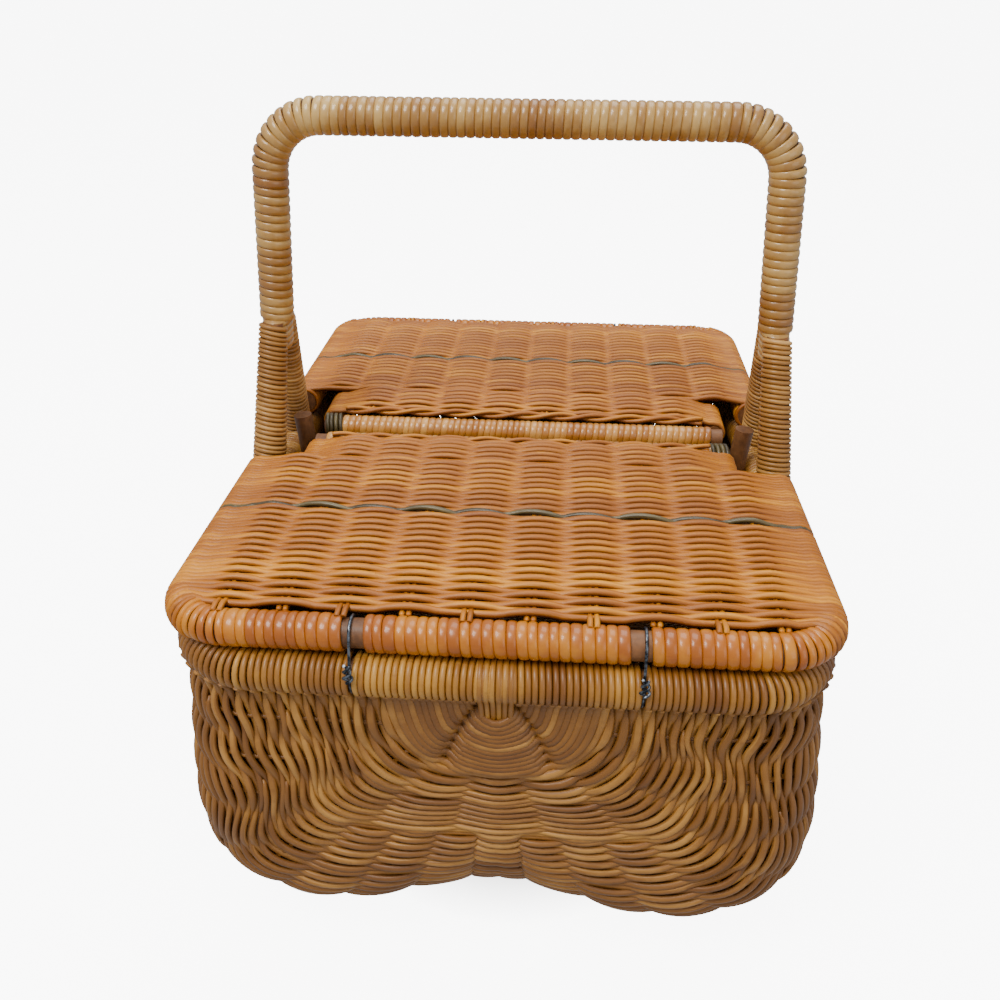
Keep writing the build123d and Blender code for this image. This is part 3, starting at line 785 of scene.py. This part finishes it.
def lay_rim():
    bundle = Bundle()
    section = round_section(1.0) * [ROW_PITCH / 2 + 0.02, REED]
    section[:, 1] += SNUG
    count = 2 * HALF_COUNT
    for side in (-1, 1):
        line = rim_half(side)
        places = (np.arange(count) + 0.5) * line.length / count
        shifts = clear_of_rings(line.at(places)) * -side + (chance.random(count) - 0.5) * 0.12
        lean = side * 0.8 + (chance.random(count) - 0.5) * 0.2
        bundle.turns(line, places + shifts, RIM_ROD, section, tones(count, 0.5, 1.0), lean)
    bundle.piece("rim_reed_turns", rim_reed, "basket", "body_reed", "rim_wrap")
    lay_rim_lashings()


LASHINGS, LASHING_PITCH, LASHING_POINTS = 6, 3.1, 26
LASHING_RADIUS = RIM_TURN + 0.7
# the tails below the rim: share of the lashing's width, length from the middle, and height
LASHING_TAIL = ((0.96, 229.4, 207.0), (0.93, 227.4, 201.0), (0.9, 226.4, 196.0),
                (0.9, 225.0, 190.0))


def lay_rim_lashings():
    """Reeds over the rim at the middle of each end, with their tails down on the ear."""
    lashing = Bundle()
    angle = np.radians(np.linspace(110, -38, 16))
    for end in (-1, 1):
        for k in range(LASHINGS):
            x = (k - (LASHINGS - 1) / 2) * LASHING_PITCH
            over = np.stack([np.full(len(angle), x),
                             end * (RIM_HALF_LENGTH + LASHING_RADIUS * np.cos(angle)),
                             RIM_HEIGHT + LASHING_RADIUS * np.sin(angle)], 1)
            tail = np.array([(x * share, end * length, z) for share, length, z in LASHING_TAIL])
            line = Line(np.concatenate([over, tail])).evenly(LASHING_POINTS)
            tone = float(0.4 + 0.5 * chance.random())
            lashing.strand(line, (0, end, 0.3), tone, REED, REED * 0.8)
    lashing.piece("rim_centre_lashings", rim_reed, "basket", "body_reed")


# ---- handle
def leg_x(height):
    share = (HANDLE_HEIGHT - height) / (HANDLE_HEIGHT - RIM_HEIGHT)
    return HANDLE_HALF_WIDTH + (FOOT_HALF_WIDTH - HANDLE_HALF_WIDTH) * share


ENDS, SIDES = ((-1, "front"), (1, "rear")), ((-1, "left"), (1, "right"))
TIGHT_REED = REED * 0.94
CANE_POINTS = 28  # round each turn of cane
GRIP_WIDTH, GRIP_VARIES, GRIP_BACK = 4.6, 1.2, 2.5


def lay_handle():
    leg = leg_x(FORK_HEIGHT)
    line = rounded([(-leg, 0, FORK_HEIGHT), (-HANDLE_HALF_WIDTH, 0, HANDLE_HEIGHT),
                    (HANDLE_HALF_WIDTH, 0, HANDLE_HEIGHT), (leg, 0, FORK_HEIGHT)], HANDLE_BEND)
    bundle = Bundle()
    place, places, widths = 3.0, [], []
    while place < line.length - GRIP_BACK:
        width = GRIP_WIDTH + GRIP_VARIES * chance.random()
        places.append(place + width / 2 - GRIP_BACK)
        widths.append(width)
        place += width
    for at, width, tone in zip(places, widths, tones(len(places), 0.3, 0.5, 5)):
        bundle.turns(line, [at], HANDLE_ROD + 0.1, band_section(width * 1.03, 2.25), [tone],
                     0.5 + 0.2 * chance.random(), around=CANE_POINTS, start=(0, 1, 0))
    bundle.piece("grip_cane_turns", grip_cane, "basket", "cane_binding", "handle_wrap")


def brace_line(end, side):
    top = np.array([side * leg_x(FORK_HEIGHT), end * BRACE_TOP, FORK_HEIGHT])
    foot = np.array([side * FOOT_HALF_WIDTH, end * BRACE_FOOT, RIM_HEIGHT])
    return Line(np.linspace(top, foot, 60))


BRACE_PITCH = 3.05
COLLAR_DROP, COLLAR_PITCH, COLLAR_OVAL = 21, 4.1, 0.95


def lay_braces():
    section = round_section(TIGHT_REED)
    for end, end_name in ENDS:
        for side, side_name in SIDES:
            line = brace_line(end, side)
            places = np.arange(3.0, line.length - 9, BRACE_PITCH)
            shifts = (chance.random(len(places)) - 0.5) * 0.3
            lean = 1.2 + (chance.random(len(places)) - 0.5) * 0.5
            core = BRACE_ROD + (BRACE_STOUT - BRACE_ROD) * places / line.length
            bundle, name = Bundle(), f"{end_name}_{side_name}_brace"
            bundle.turns(line, places + shifts, core, section, tones(len(places), 0.4, 0.7), lean,
                         start=(0, 1, 0))
            bundle.piece(f"{name}_turns", brace_reed, "basket", "body_reed", f"{name}_wrap")
    lay_collars()


def lay_collars():
    """The oval turns that hold the two braces' tops against each leg."""
    for side, name in SIDES:
        heights = FORK_HEIGHT + 1, FORK_HEIGHT - COLLAR_DROP
        line = Line([(side * leg_x(z), 0.0, z) for z in heights])
        places = np.arange(0.5, COLLAR_DROP, COLLAR_PITCH)
        collar = Bundle()
        collar.turns(line, places, HANDLE_ROD - 1.4, band_section(4.3, 2.0),
                     tones(len(places), 0.3), 0.6, around=CANE_POINTS, start=(0, 1, 0))
        points = collar.points[0]
        points[:, 1] *= 1 + COLLAR_OVAL * ease(FORK_HEIGHT + 4 - points[:, 2], 0, 9)
        collar.piece(f"{name}_fork_collar", grip_cane, "basket", "cane_binding")


# ---- lids
def lid_edge(y):
    """Centre line of the outer rod beside a row, and how far round the corner that is."""
    beyond = min(max(0.0, -y - CORNER_START), LID_CORNER * 0.98)
    out = math.sqrt(LID_CORNER**2 - beyond**2)
    return LID_HALF_WIDTH - LID_CORNER + out, math.asin(beyond / LID_CORNER)


STAKES = [(n - (STAKE_COUNT - 1) / 2) * STAKE_PITCH for n in range(STAKE_COUNT)]
SHEET_FIRST, SHEET_LAST = -209.0, -25.0
LID_ROW_PITCH = 3.2
STAKE_LIFT, STAKE_DIP = 2.5, -0.1  # a row's centre over a stake and under one
BESIDE = 9.0  # from the last stake to where a row curls
CURL = np.radians([112, 96, 80, 62, 42, 20, -4, -30, -56, -84.0])
CURL_DRIFT = 1.2  # and how far along the rod it goes meanwhile
ROW_STEP, ROW_SWAY = 3.06, 0.35


def sheet_height(y):
    """Height of the sheet's middle: it comes down to the roll at the hinge edge."""
    return LID_PLANE + STAKE_RISE - 2.6 * ease(-y, 186, 210) - 1.4 * ease(y, -34, -25)


def lid_row(y, number, lift=STAKE_LIFT):
    """One row across the lid at y, with its ends curled over the side rods."""
    edge, turned, rod, stakes = TONGUE_HALF_WIDTH, 0.0, TONGUE_ROD, STAKES[1:-1]
    if y < -(STEP + 0.5):
        edge, turned = lid_edge(y)
        rod, stakes = LID_ROD, STAKES
    last = stakes[-1]
    xs = np.arange(-last - BESIDE, last + BESIDE + 0.1, ROW_STEP)
    phase = (xs - stakes[0]) / STAKE_PITCH
    turn = math.pi * (phase + number)
    wave = np.cos(turn)
    beyond = np.clip((np.abs(xs) - last) / BESIDE, 0, 1)
    over = np.where(wave > 0, lift, STAKE_DIP) * np.abs(wave) ** 0.8
    heights = sheet_height(y) + over * (1 - 0.75 * beyond)
    points = np.stack([xs, y + ROW_SWAY * np.sin(turn), heights], 1)
    ends = []
    for side in (-1, 1):
        out = np.array([math.cos(turned) * side, -math.sin(turned), 0.0])
        centre = np.array([side * edge, y, LID_PLANE])
        if turned > 0:
            base = np.array([side * (LID_HALF_WIDTH - LID_CORNER), -CORNER_START, LID_PLANE])
            centre = base + out * LID_CORNER
        swing = np.cos(CURL)[:, None] * out + np.sin(CURL)[:, None] * np.array([0, 0, 1.0])
        arc = centre + (rod + REED * 0.95) * swing
        arc[:, 1] += np.linspace(0, CURL_DRIFT, len(arc))
        ends.append(arc)
    line = Line(np.concatenate([ends[0][::-1], points, ends[1]]))
    return line.evenly(int(line.length / 3.3))


def row_ups(line):
    """Rows face up on the sheet, and outward where they curl over a side rod."""
    out, height = np.zeros_like(line), line[:, 2]
    low = ease(LID_PLANE + 8.0 - height, 0, 8)
    out[:, 0] = np.sign(line[:, 0]) * low * 1.5
    out[:, 2] = 1 - low * 0.9 * (height > LID_PLANE) - low * (height < LID_PLANE) * 1.6
    return out


def woven_rows():
    weave = Bundle()
    count = int((SHEET_LAST - SHEET_FIRST) / LID_ROW_PITCH)
    rows = SHEET_FIRST + np.arange(count + 1) * (SHEET_LAST - SHEET_FIRST) / count
    for number, (y, tone) in enumerate(zip(rows, tones(len(rows), 0.6, 0.6, 4))):
        if abs(y + BAND_PLACE) >= LID_ROW_PITCH * 0.7:
            line = lid_row(y, number + 1)
            weave.strand(line, row_ups(line), tone, REED * 1.33, REED * 1.25)
    return weave


def side_turns():
    """Turns that fill the side rods between the rows' own."""
    sides = Bundle()
    for side in (-1, 1):
        for out, first, last, core in (
                (LID_HALF_WIDTH, -CORNER_START, -STEP, LID_ROD),
                (TONGUE_HALF_WIDTH, -STEP - 2, -INNER_EDGE - 10, TONGUE_ROD)):
            rod = Line([(side * out, y, LID_PLANE) for y in (first, last)])
            places = np.arange(1.0, rod.length, LID_ROW_PITCH)
            sides.turns(rod, places, core - 0.4, round_section(REED), tones(len(places)), 0.6)
    return sides


# the stakes' ends over the roll: lengths, heights, and how much of a short one's loss each takes
TUCK_YS, TUCK_ZS = np.array([-218.5, -216.5, -214.0, -211.5, -209.5]), (8.8, 9.5, 9.8, 9.3, 8.2)
TUCK_LOSS, SHORT = np.array([1, 0.8, 0.5, 0.25, 0.1]), 7.0
TWIN = 1.65  # half the distance between a pair's reeds


def twin_stakes():
    """Pairs of reeds for stakes, tucked down over the roll; every second pair is short."""
    stakes = Bundle()
    for k, x in enumerate(STAKES):
        stop = -(INNER_EDGE + 9) if abs(x) < TONGUE_HALF_WIDTH - 5 else -(STEP + 6)
        short = SHORT * (k % 2)
        ys = np.concatenate([TUCK_YS + short * TUCK_LOSS, np.linspace(-204, stop, 12)])
        zs = [LID_PLANE + z - 0.4 * short for z in TUCK_ZS]
        zs = np.concatenate([zs, sheet_height(ys[len(zs):])])
        for half in (-1, 1):
            line = np.stack([np.full(len(ys), x + half * TWIN), ys, zs], 1)
            stakes.strand(line, (0, 0, 1), float(chance.random()), REED, sides=7)
    return stakes


CORNER_SHARES = 0.62, 0.30  # how much of each corner's bend has round reed, not cane


def hinge_edge():
    """The hinge edge: flat cane, and round reed at its two corners."""
    roll, corner_reed = Bundle(), Bundle()
    low, high = -HINGE_HALF_LENGTH, 1 - CORNER_START
    spots = (-1, high), (-1, low), (1, low), (1, high)
    line = rounded([(x * LID_HALF_WIDTH, y, LID_PLANE) for x, y in spots], LID_CORNER)
    bend = LID_CORNER * math.pi / 2
    start, stop = bend * CORNER_SHARES[0], line.length - bend * CORNER_SHARES[1]
    place = start
    while place < stop:
        width = 4.3 + 1.9 * chance.random()
        if place < bend or place > line.length - bend:
            width = 3.9
        middle = place + width / 2
        if abs(abs(line.at(middle)[0]) - RING_PLACE) > 1.4 + width / 2:
            tone, lean = 0.3 + 0.4 * chance.random(), 0.4 + 0.5 * chance.random()
            roll.turns(line, [middle], LID_ROD + 0.1, band_section(width * 1.02, 1.85), [tone],
                       lean, around=CANE_POINTS, start=(0, -1, 0))
        place += width
    places = np.concatenate([np.arange(0.6, start, LID_ROW_PITCH),
                             np.arange(stop + 1.6, line.length, LID_ROW_PITCH)])
    corner_reed.turns(line, places, LID_ROD + 0.05, round_section(REED), tones(len(places)), 0.8)
    return roll, corner_reed


DARK_PLACES = np.array([1.6, 4.8, 8.0, 10.6])


def inner_roll():
    """The inner roll: flat cane, a bare end, and a dark lashing at the other."""
    inner, lashing = Bundle(), Bundle()
    line = Line([(side * INNER_HALF_WIDTH, -INNER_EDGE, LID_PLANE) for side in (-1, 1)])
    place = 8.2
    while place < line.length - 13:
        width = 3.8 + 0.9 * chance.random()
        tone, lean = 0.3 + 0.4 * chance.random(), 0.5 + 0.3 * chance.random()
        inner.turns(line, [place + width / 2], INNER_ROD + 0.1, band_section(width * 1.02, 1.4),
                    [tone], lean, around=24, start=(0, -1, 0))
        place += width
    lashing.turns(line, line.length - 12 + DARK_PLACES, INNER_ROD - 0.2,
                  round_section(TIGHT_REED), tones(len(DARK_PLACES)), 1.3)
    return inner, lashing


def border_and_band():
    """The rope-like border beside the inner roll, and the dark twin band."""
    border, band = Bundle(), Bundle()
    xs = np.linspace(-124, 124, 160)
    for half in (0, 1):
        phase = math.pi * (xs / 24.0 + half)
        y = -(INNER_EDGE + 7.2) + 1.6 * np.sin(phase)
        z = LID_PLANE + STAKE_RISE - 0.6 + 1.7 * np.cos(phase)
        border.strand(np.stack([xs, y, z], 1), (0, 0, 1), 0.35 + 0.4 * half, REED, sides=7)
    for half in (0, 1):
        line = lid_row(-BAND_PLACE + (half - 0.5) * 1.2, half, 3.2)
        phase = (line[:, 0] - STAKES[0]) / STAKE_PITCH
        crossing = (half - 0.5) * 3.6 * np.cos(math.pi * (phase - 0.5))
        line[:, 1] += crossing * (np.abs(line[:, 0]) < 150)
        band.strand(line, row_ups(line), 0.3 + 0.4 * half, REED, sides=7)
    return border, band


LID_PIECES = (
    ("woven_rows", lid_reed, "lid_reed", ("weave",)),
    ("side_turns", lid_reed, "lid_reed", ("side_wraps",)),
    ("twin_stakes", lid_reed, "lid_reed", ("stakes",)),
    ("cane_turns", roll_cane, "glossy_cane", ("outer_wrap",)),
    ("corner_turns", lid_reed, "lid_reed", ()),
    ("inner_cane_turns", inner_cane, "cane_binding", ("inner_wrap",)),
    ("dark_lashing", dark_reed, "dark_reed", ("corner_lashing",)),
    ("twined_border", lid_reed, "lid_reed", ("border",)),
    ("dark_twin_reeds", dark_reed, "dark_reed", ("dark_band",)),
)


def lay_lids():
    """Each lid is laid at the front, in the order of LID_PIECES; the rear one is turned round."""
    for end in ("front", "rear"):
        bundles = (woven_rows(), side_turns(), twin_stakes(), *hinge_edge(), *inner_roll(),
                   *border_and_band())
        for bundle, (name, material, slot, nodes) in zip(bundles, LID_PIECES):
            if end == "rear":
                bundle.points = [p * [-1, -1, 1] for p in bundle.points]
            replaced = [f"{end}_lid_{node}" for node in nodes]
            bundle.piece(f"{end}_lid_{name}", material, f"{end}_lid", slot, *replaced)


# ---- rods, wire, floor, light, camera
def dress_nodes():
    for name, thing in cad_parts.items():
        material = hinge_steel if name.endswith("hinge_ring") else bare_rattan
        thing.data.materials.clear()
        thing.data.materials.append(material)
        thing.data.shade_smooth()


def lay_wire_knots():
    """The twisted ends of each hinge wire, out in front between the lid's roll and the rim."""
    knots = Bundle()
    drop = np.linspace(0, 1, 26)
    for end in (-1, 1):
        for side in (-1, 1):
            for half in (0, 1):
                turn = np.linspace(0, 2.6 * math.pi, len(drop)) + half * math.pi
                line = np.stack([side * RING_PLACE + (1.3 + 1.2 * drop) * np.cos(turn),
                                 end * (RIM_HALF_LENGTH + RIM_TURN + 2.6 + 0.9 * np.sin(turn)),
                                 RIM_HEIGHT + 14.5 - 10 * drop], 1)
                knots.strand(line, (0, 0, 1), 0.5, 0.75)
    knots.piece("hinge_wire_knots", hinge_steel, "basket", "ring_wire")


STAGE_HALF = 24.0  # metres
SKY, SKY_STRENGTH = (0.93, 0.96, 1.0, 1), 0.55
LAMPS = (  # name, place, target, size in metres, watts, tint
    ("key", (-0.7, -1.0, 2.1), (0, -0.05, 0.2), 1.0, 46.0, (1.0, 0.97, 0.93)),
    ("fill", (1.6, -1.6, 0.9), (0, 0, 0.2), 1.6, 12.0, (1.0, 0.98, 0.96)),
    ("top", (0.2, 0.7, 2.2), (0, 0, 0.2), 1.4, 26.0, (1.0, 1.0, 1.0)),
)


def stand(thing, right, up, back, place):
    """Turns a lamp or camera by its axes and puts it in its place."""
    rows = zip(np.stack([right, up, back], 1), place)
    thing.matrix_world = Matrix([[*row, p] for row, p in rows] + [[0, 0, 0, 1]])


def set_stage():
    mesh = bpy.data.meshes.new("pale_floor")
    corners = [(x * STAGE_HALF, y * STAGE_HALF, 0) for x, y in ((-1, -1), (1, -1), (1, 1), (-1, 1))]
    mesh.from_pydata(corners, [], [(0, 1, 2, 3)])
    ball = bmesh.new()
    bmesh.ops.create_uvsphere(ball, u_segments=48, v_segments=24, radius=STAGE_HALF * 0.98)
    dome_mesh = bpy.data.meshes.new("pale_backdrop")
    ball.to_mesh(dome_mesh)
    ball.free()
    pale = floor_finish()
    mesh.materials.append(pale)
    dome_mesh.materials.append(pale)
    floor, dome = shown("pale_floor", mesh), shown("pale_backdrop", dome_mesh)
    for thing in (floor, dome):
        thing.visible_diffuse = thing.visible_glossy = False
    dome.visible_shadow = dome.visible_transmission = False

    world = bpy.data.worlds.new("studio")
    world.use_nodes = True
    sky = world.node_tree.nodes["Background"].inputs
    sky["Color"].default_value, sky["Strength"].default_value = SKY, SKY_STRENGTH
    bpy.context.scene.world = world
    for name, place, target, size, power, tint in LAMPS:
        lamp = bpy.data.lights.new(name, "AREA")
        lamp.shape, lamp.size, lamp.energy, lamp.color = "SQUARE", size, power, tint
        away = unit(np.array(place) - np.array(target))
        right = unit(np.cross([0, 0, 1.0], away))
        stand(shown(name, lamp), right, np.cross(away, right), away, place)


def set_camera():
    """The photograph's place and angle; the shift is its small offset from the middle."""
    yaw, pitch, roll = -0.063, 0.531, 0.007
    place = (0.0255, -0.5842, 0.5245)
    flat = math.cos(pitch)
    ahead = np.array([math.sin(yaw) * flat, math.cos(yaw) * flat, -math.sin(pitch)])
    right = np.array([math.cos(yaw), -math.sin(yaw), 0])
    up = np.cross(right, ahead)
    level = math.cos(roll) * right + math.sin(roll) * up
    upright = math.cos(roll) * up - math.sin(roll) * right
    lens = bpy.data.cameras.new("camera")
    lens.sensor_width, lens.lens = 36.0, 34.24
    lens.shift_x, lens.shift_y = -0.0035, 0.0147
    lens.clip_start = 0.01
    camera = shown("camera", lens)
    stand(camera, level, upright, -ahead, place)
    bpy.context.scene.camera = camera


set_camera()
dress_nodes()
lay_hull()
lay_rim()
lay_handle()
lay_braces()
lay_lids()
lay_wire_knots()
set_stage()
